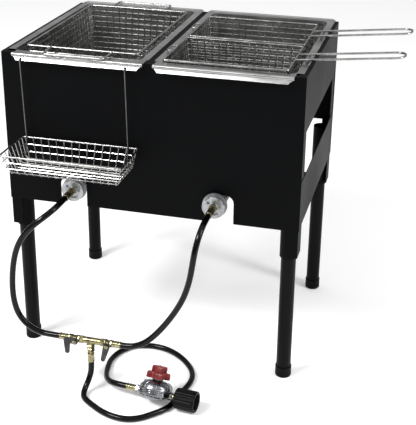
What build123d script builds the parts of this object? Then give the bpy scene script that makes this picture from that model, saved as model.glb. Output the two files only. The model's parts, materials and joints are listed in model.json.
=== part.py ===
"""Outdoor propane double-bay fryer: stand, two pans, three wire baskets, a hanging utility
basket, two burners and the gas hoses with their manifold and regulator.

Millimetres, +Z up, the fryer's front faces -Y. All sub-parts are laid out from the cabinet:
x from its middle plane, y from the front face of its front panel, z from the ground. at()
turns that into the part's own frame, whose origin is on the ground under the middle of the
fryer's box, measured without the hoses and what hangs on them.
"""

import math
import os

from build123d import *

os.makedirs("parts", exist_ok=True)

# ---- cabinet and stand ----
width = 680.0  # cabinet, left to right
depth = 482.0  # cabinet, front to back
top = 738.0  # top edge of the sheet panels above the ground
sheet = 1.5
front_low = 386.0  # lower edge of the front panel
back_low = 480.0
side_low = 608.0
brace_low = 391.0
brace_high = 502.0
top_flange = 9.0  # inward return along the panels' top edges
centre_rail_high = 24.0
notch_width = 62.0
notch_top = 453.0
notch_corner = 18.0
post_low = 320.0
post_high = 710.5
post_side = 42.0  # post's flange along the cabinet's side
post_front = 25.0  # post's flange along its front or back
post_wall = 2.5
socket_low = 314.0
socket_high = 470.0
socket_radius = 20.5
socket_bore = 17.5
leg_inset = 24.0  # leg axis from the outer faces of the cabinet
leg_radius = 17.0
leg_bore = 15.0
leg_low = 5.0
leg_high = 464.0
foot_radius = 19.0
foot_bore = 17.2
foot_high = 27.0
bolt_heights = (343.0, 368.0)
bolt_radius = 3.0
bolt_hole = 3.3
bolt_reach = 9.0  # from under its head, through the socket's and the leg's walls
head_high = 4.0
head_radius = 5.6  # over the corners
rail_size = 16.0
rail_wall = 2.0
rail_top = 408.0
rail_spread = 40.0  # burner rails either side of the burner's centre

# ---- pans ----
pan_outer = 324.0  # across, over the side flanges
pan_gap = 14.0  # between the two pans
pan_front = 12.0  # inner edge of the front flange
pan_back = 470.0  # inner edge of the back flange
pan_flange = 15.0  # side flange width
pan_wall = 1.0
pan_depth = 163.0
pan_taper = 9.0  # how far each wall leans in over the depth
pan_corner = 18.0
pan_floor_radius = 8.0
rest = 0.5  # gap between the pans' flanges and the panels' top edges
bead_radius = 4.5
front_bead = 11.5  # bead's centre beyond the front panel
back_bead = 8.0  # bead's centre beyond the back panel
back_bead_inset = 5.0
lip_reach = 20.0  # drip lip beyond the panel
lip_drop = 12.0
lip_inset = 4.0  # lip's ends from the bead's ends
lip_chamfer = 9.0
bead_spans = {"left": (-308.0, -10.0), "right": (13.0, 316.0)}  # front beads, end to end
side_flange_front = 20.0  # the side flanges start here

# ---- baskets ----
wire = 2.5  # rim and handle wire radius
rim_z = 745.0
rim_corner = 6.0
mesh_wall = 0.8  # wire mesh as a thin shell of about the same mass
mesh_corner = 14.0
mesh_floor_radius = 8.0
large_box = (-294.0, 38.0, -36.0, 434.0)  # rim centreline: x, y, x, y
large_depth = 146.0
small_left = 28.0
small_right = 298.0
small_fronts = (("front", 15.0), ("rear", 218.0))
small_width = 188.0
small_depth = 128.0
basket_taper = 14.0
handle_span = 143.0  # large basket's two handles
handle_reach = 56.0
handle_draft = 2.0  # how far each arm leans in
handle_bend = 8.0
long_handle_span = 44.0
long_handle_end = 530.0
long_handle_rise = 6.0  # degrees
long_handle_bend = 19.0
long_handle_back = 8.0  # handle's middle behind its basket's
cross_wire_out = 25.0  # from the basket's rim
hook_half = 20.0
hook_reach = 14.0
hook_bend = 6.0
hook_wire = 2.0

# ---- utility basket ----
tray_left = -297.0
tray_right = -22.0
tray_back = -9.0
tray_front = -132.0
tray_z = 545.0
tray_height = 50.0
tray_corner = 10.0
tray_narrower = 20.0  # floor against rim, left to right
tray_shorter = 24.0  # floor against rim, front to back
tray_floor_back = 7.0  # floor's middle behind the rim's
tray_wire = 1.8
rod_xs = (-286.0, -46.0)
rod_wire = 1.3
lip_hole = 3.0
lip_hole_at = (-18.2, 729.6)  # y, z: the rods' hooks pass through here

# ---- burners ----
burner_xs = (-177.0, 152.0)
notch_xs = (-182.0, 161.5)
burner_z = 431.0
burner_y = depth / 2
venturi_radius = 19.0
venturi_bore = 15.5
bell_radius = 28.0
throat_radius = 20.5  # behind the bell's rim, where it passes the panel's notch
drum_radius = 23.0
drum_front = -20.0
hub_radius = 7.0
hub_front = -23.0
shutter_radius = 26.0
shutter_thick = 2.0
shutter_gap = 0.3  # between the shutter and the drum
air_ring = 14.5  # the two air openings' middle line
air_turns = (40, 220)
tab_turn = 128
bowl_radius = 65.0
bowl_high = 462.0
cap_thick = 8.0
fitting_end = -66.0
orifice_hex_long = 8.0
orifice_neck_long = 7.0

# ---- gas line ----
hose = 13.5  # outer diameter
manifold = (-95.5, -150.0, 128.0)  # where the tee's three ways meet
pipe_radius = 7.5
branch_radius = 7.2
tee_reach = {"left": 25.0, "right": 34.0}
tee_hex = 9.8  # over the corners
tee_hex_long = 9.0
valve_long = {"left": 25.0, "right": 18.0}
stem_from_tee = {"left": 33.0, "right": 43.0}
stem_radius = 3.0
stem_clearance = 0.06  # all round, between a stem and what turns on it
side_hose_from_tee = 73.0
valve_out = 12.0  # lever's back face in front of the pipe's axis
ferrule_radius = 8.0
branch_hex_top = -9.0
branch_hex_low = -27.0
branch_neck_low = -32.0
branch_drop = 54.0
lever_hub = 8.0
lever_arm = 18.0  # left lever's sideways arm
lever_long = 42.0
lever_wide = 14.0
lever_tip = 5.0  # radius of the right lever's tip
lever_thick = 2.8
right_lever_tilt = 15.0  # degrees from hanging straight down

# Regulator: its own x runs along the inlet to the tank nut, its own z up through the knob.
regulator = (60.0, -163.0, 26.0)
regulator_yaw = 6.0  # degrees, inlet turned towards the front
regulator_lean = 30.0  # degrees, knob leaning to the back
regulator_radius = 40.0
body_top = 4.0
outlet_end = -46.0
outlet_hex = 9.5  # over the corners
boss_from = 20.0  # inner ends of the outlet and inlet bosses
knob_stem_radius = 4.0
outlet_hose_end = -70.0
flange_screws = 6
flange_screw_ring = 34.5
neck_top = 31.0
stem_top = 44.0
knob_low = 32.0
knob_step = 46.0  # the wide lower tier ends here
knob_high = 60.0
knob_bore_top = 45.0
knob_reaches = (26.5, 17.5)
inlet_from = 42.0
inlet_radius = 7.0
inlet_collar_radius = 9.0
nut_from = 50.0
nut_to = 99.0
nut_floor = 16.0
nut_radius = 24.0
nut_bore = 18.0
nut_flutes = 18
inlet_to = nut_to - 8

# The part's own origin, seen from the cabinet: the middle of the box of everything that
# isn't on a hose.
box_left = -width / 2
box_right = long_handle_end
box_front = tray_front - tray_wire
box_back = depth + back_bead + bead_radius
cabinet_x = -(box_left + box_right) / 2
front_y = -(box_front + box_back) / 2


def at(x, y, z):
    """A point given from the cabinet, in the part's own frame."""
    return (x + cabinet_x, y + front_y, z)


def level(x, y, z):
    """A plane facing up, its x along the fryer's width."""
    return Plane(origin=at(x, y, z), x_dir=(1, 0, 0), z_dir=(0, 0, 1))


def facing_front(x, y, z):
    """A plane facing the front, its x to the right and its y up."""
    return Plane(origin=at(x, y, z), x_dir=(1, 0, 0), z_dir=(0, -1, 0))


def facing_right(x, y, z):
    """A plane facing right, its x towards the back and its y up."""
    return Plane(origin=at(x, y, z), x_dir=(0, 1, 0), z_dir=(1, 0, 0))


def save(piece, name):
    """Labels a finished piece and writes it to its file."""
    piece.part.label = name
    export_step(piece.part, f"parts/{name}.step")


def tub(x, y, z, wide, long, corner, height, inset, wall, floor_radius):
    """A thin open tub whose walls lean in by the inset over its height; z is its mouth."""
    lean = math.degrees(math.atan(inset / height))
    forms = []
    for shrink in (0, wall):
        with BuildPart() as form:
            with BuildSketch(level(x, y, z)):
                RectangleRounded(wide - 2 * shrink, long - 2 * shrink, corner - shrink)
            extrude(amount=-(height - shrink), taper=lean)
            fillet(form.edges().group_by(Axis.Z)[0], radius=floor_radius - shrink)
        forms.append(form.part)
    with BuildPart() as hollow:
        add(forms[0])
        add(forms[1], mode=Mode.SUBTRACT)
    return hollow


# ---- sheet panels ----
with BuildPart() as front_panel:
    with BuildSketch(facing_front(0, sheet, 0)):
        with Locations((0, (front_low + top) / 2)):
            Rectangle(width, top - front_low)
        with Locations(*[(x, front_low) for x in notch_xs]):
            RectangleRounded(notch_width, 2 * (notch_top - front_low), notch_corner, mode=Mode.SUBTRACT)
    extrude(amount=sheet)
    with BuildSketch(level(0, (sheet + top_flange) / 2, top)):
        Rectangle(width - 2 * sheet, top_flange + sheet)
    extrude(amount=-sheet)
save(front_panel, "front_panel")

with BuildPart() as back_panel:
    with BuildSketch(facing_front(0, depth, 0)):
        with Locations((0, (back_low + top) / 2)):
            Rectangle(width, top - back_low)
    extrude(amount=sheet)
    with BuildSketch(level(0, depth - (sheet + top_flange) / 2, top)):
        Rectangle(width - 2 * sheet, top_flange + sheet)
    extrude(amount=-sheet)
save(back_panel, "back_panel")

# Side panels and braces lie in one plane each side, between the front and back panels.
inner_depth = depth - 2 * sheet
for side, sign in (("left", -1), ("right", 1)):
    outer_x = sign * width / 2
    with BuildPart() as side_panel:
        with BuildSketch(facing_right(min(outer_x, outer_x - sign * sheet), depth / 2, 0)):
            with Locations((0, (side_low + top) / 2)):
                Rectangle(inner_depth, top - side_low)
        extrude(amount=sheet)
        with BuildSketch(level(outer_x - sign * (sheet + top_flange) / 2, depth / 2, top)):
            Rectangle(top_flange + sheet, inner_depth - 2 * top_flange)
        extrude(amount=-sheet)
    save(side_panel, f"{side}_side_panel")

    with BuildPart() as brace:
        with BuildSketch(facing_right(min(outer_x, outer_x - sign * sheet), depth / 2, 0)):
            with Locations((0, (brace_low + brace_high) / 2)):
                Rectangle(inner_depth, brace_high - brace_low)
        extrude(amount=sheet)
    save(brace, f"{side}_brace")

# Channel between the pans, open side down, that carries both inner flanges.
rail_wide = 2 * (pan_gap / 2 + pan_flange - 4)
with BuildPart() as centre_rail:
    with BuildSketch(facing_front(0, depth - sheet - top_flange - 1, 0)):
        with Locations((0, top - centre_rail_high / 2)):
            Rectangle(rail_wide, centre_rail_high)
        with Locations((0, top - centre_rail_high / 2 - sheet)):
            Rectangle(rail_wide - 2 * sheet, centre_rail_high, mode=Mode.SUBTRACT)
    extrude(amount=inner_depth - 2 * top_flange - 2)
save(centre_rail, "centre_rail")

# ---- posts with leg sockets, legs and feet ----
corners = [
    ("front_left", -1, 1),
    ("front_right", 1, 1),
    ("back_left", -1, -1),
    ("back_right", 1, -1),
]
bolts = []
for corner, x_sign, y_sign in corners:
    face_x = x_sign * (width / 2 - sheet)
    face_y = sheet if y_sign > 0 else depth - sheet
    leg_x = x_sign * (width / 2 - leg_inset)
    leg_y = leg_inset if y_sign > 0 else depth - leg_inset
    with BuildPart() as post:
        with BuildSketch(level(face_x - x_sign * post_front / 2, face_y + y_sign * post_side / 2, post_low)):
            Rectangle(post_front, post_side)
            with Locations((-x_sign * post_wall, y_sign * post_wall)):
                Rectangle(post_front, post_side, mode=Mode.SUBTRACT)
        extrude(amount=post_high - post_low)
        with BuildSketch(level(leg_x, leg_y, socket_low)):
            Circle(socket_radius)
        extrude(amount=socket_high - socket_low)
        with BuildSketch(level(leg_x, leg_y, socket_low)):
            Circle(socket_bore)
        extrude(amount=socket_high - socket_low, mode=Mode.SUBTRACT)
        with BuildSketch(facing_front(leg_x, leg_y, 0)):
            with Locations(*[(0, z) for z in bolt_heights]):
                Circle(bolt_hole)
        extrude(amount=-y_sign * 2 * socket_radius, mode=Mode.SUBTRACT)
    save(post, f"{corner}_post")

    with BuildPart() as leg:
        with BuildSketch(level(leg_x, leg_y, leg_low)):
            Circle(leg_radius)
            Circle(leg_bore, mode=Mode.SUBTRACT)
        extrude(amount=leg_high - leg_low)
        with BuildSketch(facing_front(leg_x, leg_y, 0)):
            with Locations(*[(0, z) for z in bolt_heights]):
                Circle(bolt_hole)
        extrude(amount=-y_sign * 2 * leg_radius, mode=Mode.SUBTRACT)
    save(leg, f"{corner}_leg")

    with BuildPart() as foot:
        with BuildSketch(level(leg_x, leg_y, 0)):
            Circle(foot_radius)
        extrude(amount=foot_high)
        fillet(foot.edges().group_by(Axis.Z)[-1], radius=1.0)
        chamfer(foot.edges().group_by(Axis.Z)[0], length=1.5)
        with BuildSketch(level(leg_x, leg_y, leg_low)):
            Circle(foot_bore)
        extrude(amount=foot_high - leg_low, mode=Mode.SUBTRACT)
    save(foot, f"{corner}_foot")

    # Two bolts through the socket and the leg, from the side that faces under the cabinet.
    head_y = leg_y + y_sign * (socket_radius + 0.2)
    for z in bolt_heights:
        with BuildPart() as bolt:
            with BuildSketch(facing_front(leg_x, head_y, z)):
                RegularPolygon(radius=head_radius, side_count=6)
            extrude(amount=-y_sign * head_high)
            with BuildSketch(facing_front(leg_x, head_y, z)):
                Circle(bolt_radius)
            extrude(amount=y_sign * bolt_reach)
        bolts.append(bolt.part)

with BuildPart() as leg_bolts:
    add(bolts)
save(leg_bolts, "leg_bolts")

# ---- burners ----
for name, rail_y in (("front", burner_y - rail_spread), ("rear", burner_y + rail_spread)):
    with BuildPart() as burner_rail:
        with BuildSketch(facing_right(-width / 2 + sheet, rail_y, rail_top - rail_size / 2)):
            Rectangle(rail_size, rail_size)
            with Locations((rail_wall, -rail_wall)):
                Rectangle(rail_size, rail_size, mode=Mode.SUBTRACT)
        extrude(amount=width - 2 * sheet)
    save(burner_rail, f"{name}_burner_rail")

for side, burner_x in zip(("left", "right"), burner_xs):
    axis = Axis(at(burner_x, 0, burner_z), (0, 1, 0))
    with BuildPart() as burner:
        # Bell, drum and mixing tube as one turned shape; x is the radius, y runs to the front.
        with BuildSketch(Plane(origin=at(burner_x, 0, burner_z), x_dir=(1, 0, 0), z_dir=(0, 0, 1))):
            with BuildLine():
                Polyline(
                    (hub_radius, drum_front),
                    (drum_radius, drum_front),
                    (drum_radius, -10),
                    (bell_radius, -9),
                    (bell_radius, -5),
                    (throat_radius, -1.5),
                    (venturi_radius, 40),
                    (venturi_radius, burner_y - bowl_radius + 12),
                    (venturi_bore, burner_y - bowl_radius + 12),
                    (venturi_bore, 42),
                    (throat_radius - 2.5, 2),
                    (drum_radius - 2.5, -8),
                    (drum_radius - 2.5, drum_front + 2.5),
                    (hub_radius, drum_front + 2.5),
                    close=True,
                )
            make_face()
        revolve(axis=axis)
        # Two kidney-shaped air openings in the drum's end plate.
        with BuildSketch(facing_front(burner_x, drum_front + 4, burner_z)):
            for turn in air_turns:
                SlotArc(CenterArc((0, 0), air_ring, turn - 45, 90), height=6)
        extrude(amount=6, mode=Mode.SUBTRACT)
        # Boss that the shutter turns on and the brass orifice screws into.
        with BuildSketch(facing_front(burner_x, drum_front + 2.5, burner_z)):
            Circle(hub_radius)
        extrude(amount=drum_front + 2.5 - hub_front)
        # Bowl under the burner cap, open to the mixing tube.
        with BuildSketch(level(burner_x, burner_y, rail_top)):
            Circle(bowl_radius)
        extrude(amount=bowl_high - rail_top)
        with BuildSketch(level(burner_x, burner_y, rail_top + 4)):
            Circle(bowl_radius - 5)
        extrude(amount=bowl_high - rail_top - 4, mode=Mode.SUBTRACT)
        with BuildSketch(facing_front(burner_x, burner_y, burner_z)):
            Circle(venturi_bore)
        extrude(amount=bowl_radius + 5, mode=Mode.SUBTRACT)
    save(burner, f"{side}_burner")

    with BuildPart() as burner_cap:
        with BuildSketch(level(burner_x, burner_y, bowl_high)):
            Circle(bowl_radius)
        extrude(amount=cap_thick)
        fillet(burner_cap.edges().group_by(Axis.Z)[-1], radius=3)
        with BuildSketch(level(burner_x, burner_y, bowl_high)):
            for ring, count in ((18, 8), (34, 14), (50, 20)):
                with PolarLocations(ring, count):
                    Circle(2.2)
        extrude(amount=cap_thick, mode=Mode.SUBTRACT)
    save(burner_cap, f"{side}_burner_cap")

    with BuildPart() as air_shutter:
        with BuildSketch(facing_front(burner_x, drum_front - shutter_gap, burner_z)):
            Circle(shutter_radius)
            Circle(hub_radius + 0.05, mode=Mode.SUBTRACT)
            for turn in air_turns:
                SlotArc(CenterArc((0, 0), air_ring, turn - 38, 76), height=7, mode=Mode.SUBTRACT)
        extrude(amount=shutter_thick)
        # Finger tab bent forward at the upper left.
        with BuildSketch(facing_front(burner_x, drum_front - shutter_gap, burner_z)):
            with PolarLocations(shutter_radius - 2, 1, start_angle=tab_turn):
                Rectangle(3, 11)
        extrude(amount=9)
    save(air_shutter, f"{side}_air_shutter")

    with BuildPart() as orifice:
        with BuildSketch(facing_front(burner_x, hub_front, burner_z)):
            RegularPolygon(radius=9.8, side_count=6)
        extrude(amount=orifice_hex_long)
        neck_front = hub_front - orifice_hex_long
        with BuildSketch(facing_front(burner_x, neck_front, burner_z)):
            Circle(6)
        extrude(amount=orifice_neck_long)
        sleeve_back = neck_front - orifice_neck_long
        with BuildSketch(facing_front(burner_x, sleeve_back, burner_z)):
            Circle(ferrule_radius)
        extrude(amount=sleeve_back - fitting_end)
    save(orifice, f"{side}_orifice_fitting")

# ---- pans ----
flange_top = top + rest + pan_wall
pan_middle_y = (pan_front + pan_back) / 2
pan_long = pan_back - pan_front
pan_wide = pan_outer - 2 * pan_flange
for side, sign in (("left", -1), ("right", 1)):
    pan_x = sign * (pan_gap + pan_outer) / 2
    with BuildPart() as pan:
        add(
            tub(
                pan_x,
                pan_middle_y,
                flange_top,
                pan_wide,
                pan_long,
                pan_corner,
                pan_depth,
                pan_taper,
                pan_wall,
                pan_floor_radius,
            ).part
        )
        with BuildSketch(level(0, 0, flange_top)):
            with Locations((pan_x, (depth + back_bead - front_bead) / 2)):
                Rectangle(pan_outer, depth + front_bead + back_bead)
            # Each side flange starts a little behind the front panel.
            for end_x, edge_x in zip(bead_spans[side], (pan_x - pan_outer / 2, pan_x + pan_outer / 2)):
                with Locations(((end_x + edge_x) / 2, side_flange_front / 2 - front_bead)):
                    Rectangle(abs(end_x - edge_x), side_flange_front + 2 * front_bead, mode=Mode.SUBTRACT)
            with Locations((pan_x, pan_middle_y)):
                RectangleRounded(
                    pan_wide - 2 * pan_wall,
                    pan_long - 2 * pan_wall,
                    pan_corner - pan_wall,
                    mode=Mode.SUBTRACT,
                )
        extrude(amount=-pan_wall)
        # Rolled beads along the front and back edges, and the drip lip under the front one.
        bead_from, bead_to = bead_spans[side]
        with BuildSketch(facing_right(bead_from, 0, 0)):
            with Locations((-front_bead, top - 1)):
                Circle(bead_radius)
        extrude(amount=bead_to - bead_from)
        with BuildSketch(facing_right(pan_x - pan_outer / 2 + back_bead_inset, 0, 0)):
            with Locations((depth + back_bead, top - 1)):
                Circle(bead_radius)
        extrude(amount=pan_outer - 2 * back_bead_inset)
        with BuildSketch(facing_right(bead_from + lip_inset, 0, 0)):
            with BuildLine():
                Polyline(
                    (-front_bead, top - 1),
                    (-front_bead - bead_radius, top - 5.5),
                    (-lip_reach + 0.5, top - lip_drop),
                )
            trace(line_width=1.0)
        extrude(amount=bead_to - bead_from - 2 * lip_inset)
        lip_low = top - lip_drop - 1
        with BuildSketch(facing_front(0, -front_bead - bead_radius, 0)):
            for end_x, inward in ((bead_from + lip_inset, 1), (bead_to - lip_inset, -1)):
                corner_points = [
                    (end_x, lip_low),
                    (end_x + inward * lip_chamfer, lip_low),
                    (end_x, lip_low + lip_chamfer),
                ]
                Polygon(*corner_points, align=None)
        extrude(amount=lip_reach, mode=Mode.SUBTRACT)
        if side == "left":
            with BuildSketch(facing_front(0, -front_bead - bead_radius, 0)):
                with Locations(*[(x, lip_hole_at[1]) for x in rod_xs]):
                    Circle(lip_hole)
            extrude(amount=lip_reach, mode=Mode.SUBTRACT)
    save(pan, f"{side}_pan")


# ---- baskets ----
def mesh_basket(low_x, low_y, high_x, high_y, height):
    """Wire mesh walls and floor as a thin shell, open at the top and narrower below."""
    middle = ((low_x + high_x) / 2, (low_y + high_y) / 2, rim_z)
    size = (high_x - low_x, high_y - low_y)
    return tub(*middle, *size, mesh_corner, height, basket_taper, mesh_wall, mesh_floor_radius)


def wire_loop(low_x, low_y, high_x, high_y, z, radius, corner):
    """A closed rim of round wire."""
    with BuildPart() as rim:
        with BuildSketch(level((low_x + high_x) / 2, (low_y + high_y) / 2, z - radius)):
            for grow, mode in ((radius, Mode.ADD), (-radius, Mode.SUBTRACT)):
                RectangleRounded(
                    high_x - low_x + 2 * grow,
                    high_y - low_y + 2 * grow,
                    corner + grow,
                    mode=mode,
                )
        extrude(amount=2 * radius)
        fillet(rim.edges().group_by(Axis.Z)[0] + rim.edges().group_by(Axis.Z)[-1], radius=radius * 0.98)
    return rim


def bent_wire(plane, points, bend, radius):
    """Round wire bent through points drawn on a plane."""
    with BuildPart() as bent:
        with BuildLine(plane) as path:
            FilletPolyline(*points, radius=bend)
        start = path.line @ 0
        with BuildSketch(Plane(origin=start, z_dir=path.line % 0)):
            Circle(radius)
        sweep(path=path.line)
    return bent


large_x0, large_y0, large_x1, large_y1 = large_box
save(mesh_basket(*large_box, large_depth), "large_basket")
save(wire_loop(*large_box, rim_z, wire, rim_corner), "large_basket_rim")
large_x = (large_x0 + large_x1) / 2
for end, edge_y, sign in (("front", large_y0, -1), ("back", large_y1, 1)):
    handle = bent_wire(
        level(large_x, edge_y, rim_z),
        [
            (-handle_span / 2, 0),
            (-handle_span / 2 + handle_draft, sign * handle_reach),
            (handle_span / 2 - handle_draft, sign * handle_reach),
            (handle_span / 2, 0),
        ],
        handle_bend,
        wire,
    )
    save(handle, f"large_basket_{end}_handle")

rise = math.radians(long_handle_rise)
for end, low_y in small_fronts:
    box = (small_left, low_y, small_right, low_y + small_width)
    save(mesh_basket(*box, small_depth), f"{end}_basket")
    middle_y = low_y + small_width / 2
    with BuildPart() as rim_and_hook:
        add(wire_loop(*box, rim_z, wire, rim_corner).part)
        # Hook over the inner flange of the pan.
        hook = bent_wire(
            level(small_left, middle_y, rim_z),
            [
                (0, -hook_half),
                (-hook_reach, -hook_half),
                (-hook_reach, hook_half),
                (0, hook_half),
            ],
            hook_bend,
            hook_wire,
        )
        add(hook.part)
    save(rim_and_hook, f"{end}_basket_rim")
    handle_plane = Plane(
        origin=at(small_right, middle_y + long_handle_back, rim_z),
        x_dir=(math.cos(rise), 0, math.sin(rise)),
        z_dir=(-math.sin(rise), 0, math.cos(rise)),
    )
    reach = (long_handle_end - wire - small_right) / math.cos(rise)
    half = long_handle_span / 2
    with BuildPart() as long_handle:
        handle_points = [(0, -half), (reach, -half), (reach, half), (0, half)]
        handle = bent_wire(handle_plane, handle_points, long_handle_bend, wire)
        add(handle.part)
        # Cross wire under the two arms, resting on the pan's outer flange.
        cross_back = middle_y + long_handle_back + half + wire
        with BuildSketch(facing_front(small_right + cross_wire_out, cross_back, rim_z - 2)):
            Circle(wire)
        extrude(amount=long_handle_span + 2 * wire)
    save(long_handle, f"{end}_basket_handle")

# ---- utility basket, hung from the left pan's drip lip ----
tray_x = (tray_left + tray_right) / 2
tray_y = (tray_front + tray_back) / 2
tray_forms = []
for shrink in (0, mesh_wall):
    with BuildPart() as tray_form:
        for z, y, narrower, shorter in (
            (tray_z, tray_y, 0, 0),
            (tray_z - tray_height + shrink, tray_y + tray_floor_back, tray_narrower, tray_shorter),
        ):
            with BuildSketch(level(tray_x, y, z)):
                RectangleRounded(
                    tray_right - tray_left - narrower - 2 * shrink,
                    tray_back - tray_front - shorter - 2 * shrink,
                    tray_corner - shrink,
                )
        loft()
    tray_forms.append(tray_form.part)
with BuildPart() as tray:
    add(tray_forms[0])
    add(tray_forms[1], mode=Mode.SUBTRACT)
save(tray, "utility_basket")
tray_rim = wire_loop(tray_left, tray_front, tray_right, tray_back, tray_z, tray_wire, rim_corner)
save(tray_rim, "utility_basket_rim")
hole_y, hole_z = lip_hole_at
rod_points = [
    (hole_y + 8, hole_z + 0.8),
    (hole_y - 5, hole_z - 0.6),
    (hole_y - 4, hole_z - 14),
    (tray_back - 3.5, tray_z + 4),
    (tray_back - 8, tray_z - 34),
    (tray_back - 16, tray_z - 38),
]
with BuildPart() as hanger_rods:
    for x in rod_xs:
        add(bent_wire(facing_right(x, 0, 0), rod_points, 2, rod_wire).part)
save(hanger_rods, "hanger_rods")

# ---- manifold ----
tee_x, tee_y, tee_z = manifold
ferrules = []


def ferrule(plane, length):
    """A crimped hose ferrule along the plane's normal."""
    with BuildPart() as sleeve:
        with BuildSketch(plane):
            Circle(ferrule_radius)
        extrude(amount=length)
        chamfer(sleeve.edges().filter_by(GeomType.CIRCLE), length=0.8)
    return sleeve.part


with BuildPart() as manifold_tee:
    with BuildSketch(facing_right(tee_x - tee_reach["left"], tee_y, tee_z)):
        Circle(pipe_radius)
    extrude(amount=tee_reach["left"] + tee_reach["right"])
    for end_x in (tee_x - tee_reach["left"], tee_x + tee_reach["right"] - tee_hex_long):
        with BuildSketch(facing_right(end_x, tee_y, tee_z)):
            RegularPolygon(radius=tee_hex, side_count=6)
        extrude(amount=tee_hex_long)
    with BuildSketch(level(tee_x, tee_y, tee_z)):
        Circle(branch_radius)
    extrude(amount=branch_hex_low)
    with BuildSketch(level(tee_x, tee_y, tee_z + branch_hex_top)):
        RegularPolygon(radius=tee_hex, side_count=6)
    extrude(amount=branch_hex_low - branch_hex_top)
    with BuildSketch(level(tee_x, tee_y, tee_z + branch_hex_low)):
        Circle(branch_radius - 1)
    extrude(amount=branch_neck_low - branch_hex_low)
save(manifold_tee, "manifold_tee")
ferrules.append(ferrule(level(tee_x, tee_y, tee_z - branch_drop), branch_drop + branch_neck_low))

for side, sign in (("left", -1), ("right", 1)):
    inner_x = tee_x + sign * tee_reach[side]
    stem_x = tee_x + sign * stem_from_tee[side]
    outer_x = inner_x + sign * valve_long[side]
    with BuildPart() as valve:
        with BuildSketch(facing_right(inner_x, tee_y, tee_z)):
            RegularPolygon(radius=8.6, side_count=8)
        extrude(amount=sign * valve_long[side])
        with BuildSketch(facing_front(stem_x, tee_y, tee_z)):
            Circle(5.5)
        extrude(amount=valve_out)
        with BuildSketch(facing_front(stem_x, tee_y, tee_z)):
            Circle(stem_radius)
        extrude(amount=valve_out + lever_thick + 1.2)
        with BuildSketch(facing_front(stem_x, tee_y - valve_out - lever_thick - 0.6, tee_z)):
            RegularPolygon(radius=5.5, side_count=6)
        extrude(amount=3)
    save(valve, f"{side}_valve_body")

    ferrule_from, ferrule_to = sorted((outer_x, tee_x + sign * side_hose_from_tee))
    ferrules.append(ferrule(facing_right(ferrule_from, tee_y, tee_z), ferrule_to - ferrule_from))

# Flat levers with a bored eye, hanging from the stems. The left one is an L, the right one
# narrows to its tip and hangs a little to the left.
lever_y = tee_y - valve_out - 0.3
with BuildPart() as left_lever:
    with BuildSketch(facing_front(tee_x - stem_from_tee["left"], lever_y, tee_z)):
        Circle(lever_hub)
        with Locations((-lever_arm / 2, 0)):
            Rectangle(lever_arm, lever_wide)
        with Locations((-lever_arm, (lever_wide - lever_long) / 2)):
            RectangleRounded(lever_wide, lever_long, 4)
        Circle(stem_radius + stem_clearance, mode=Mode.SUBTRACT)
    extrude(amount=lever_thick)
save(left_lever, "left_valve_lever")

lever_turn = math.radians(right_lever_tilt)
right_lever_plane = Plane(
    origin=at(tee_x + stem_from_tee["right"], lever_y, tee_z),
    x_dir=(math.cos(lever_turn), 0, -math.sin(lever_turn)),
    z_dir=(0, -1, 0),
)
with BuildPart() as right_lever:
    with BuildSketch(right_lever_plane):
        Circle(lever_hub)
        with Locations((0, lever_tip - lever_long)):
            Circle(lever_tip)
        make_hull()
        Circle(stem_radius + stem_clearance, mode=Mode.SUBTRACT)
    extrude(amount=lever_thick)
save(right_lever, "right_valve_lever")

# ---- regulator, its adjusting knob and the tank nut ----
yaw = math.radians(regulator_yaw)
lean = math.radians(regulator_lean)
inlet_way = Vector(math.cos(yaw), -math.sin(yaw), 0)
knob_way = Vector(
    math.sin(lean) * math.sin(yaw),
    math.sin(lean) * math.cos(yaw),
    math.cos(lean),
)
centre = Vector(*at(*regulator))


def up_knob(height):
    """A plane across the knob's axis, its x along the inlet."""
    return Plane(origin=centre + knob_way * height, x_dir=inlet_way, z_dir=knob_way)


def along_inlet(distance):
    """A plane across the inlet's axis, its x up the knob's axis."""
    return Plane(origin=centre + inlet_way * distance, x_dir=knob_way, z_dir=inlet_way)


with BuildPart() as regulator_body:
    with BuildSketch(Plane(origin=centre, x_dir=inlet_way, z_dir=inlet_way.cross(knob_way))):
        with BuildLine():
            Polyline(
                (0, -14),
                (18, -14),
                (28, -8),
                (29.5, -body_top),
                (regulator_radius, -body_top),
                (regulator_radius, body_top),
                (0, body_top),
                close=True,
            )
        make_face()
    revolve(axis=Axis(centre, knob_way))
    # Heads of the screws that hold the bonnet, under the flange.
    with BuildSketch(up_knob(-body_top)):
        with PolarLocations(flange_screw_ring, flange_screws, start_angle=30):
            RegularPolygon(radius=3, side_count=6)
    extrude(amount=-3.5)
    with BuildSketch(along_inlet(outlet_end)):
        RegularPolygon(radius=outlet_hex, side_count=6)
    extrude(amount=-outlet_end - boss_from)
    with BuildSketch(along_inlet(boss_from)):
        Circle(inlet_collar_radius)
    extrude(amount=inlet_from - boss_from)
save(regulator_body, "regulator_body")
ferrules.append(ferrule(along_inlet(outlet_hose_end), outlet_end - outlet_hose_end))

with BuildPart() as hose_ferrules:
    add(ferrules)
save(hose_ferrules, "hose_ferrules")

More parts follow.
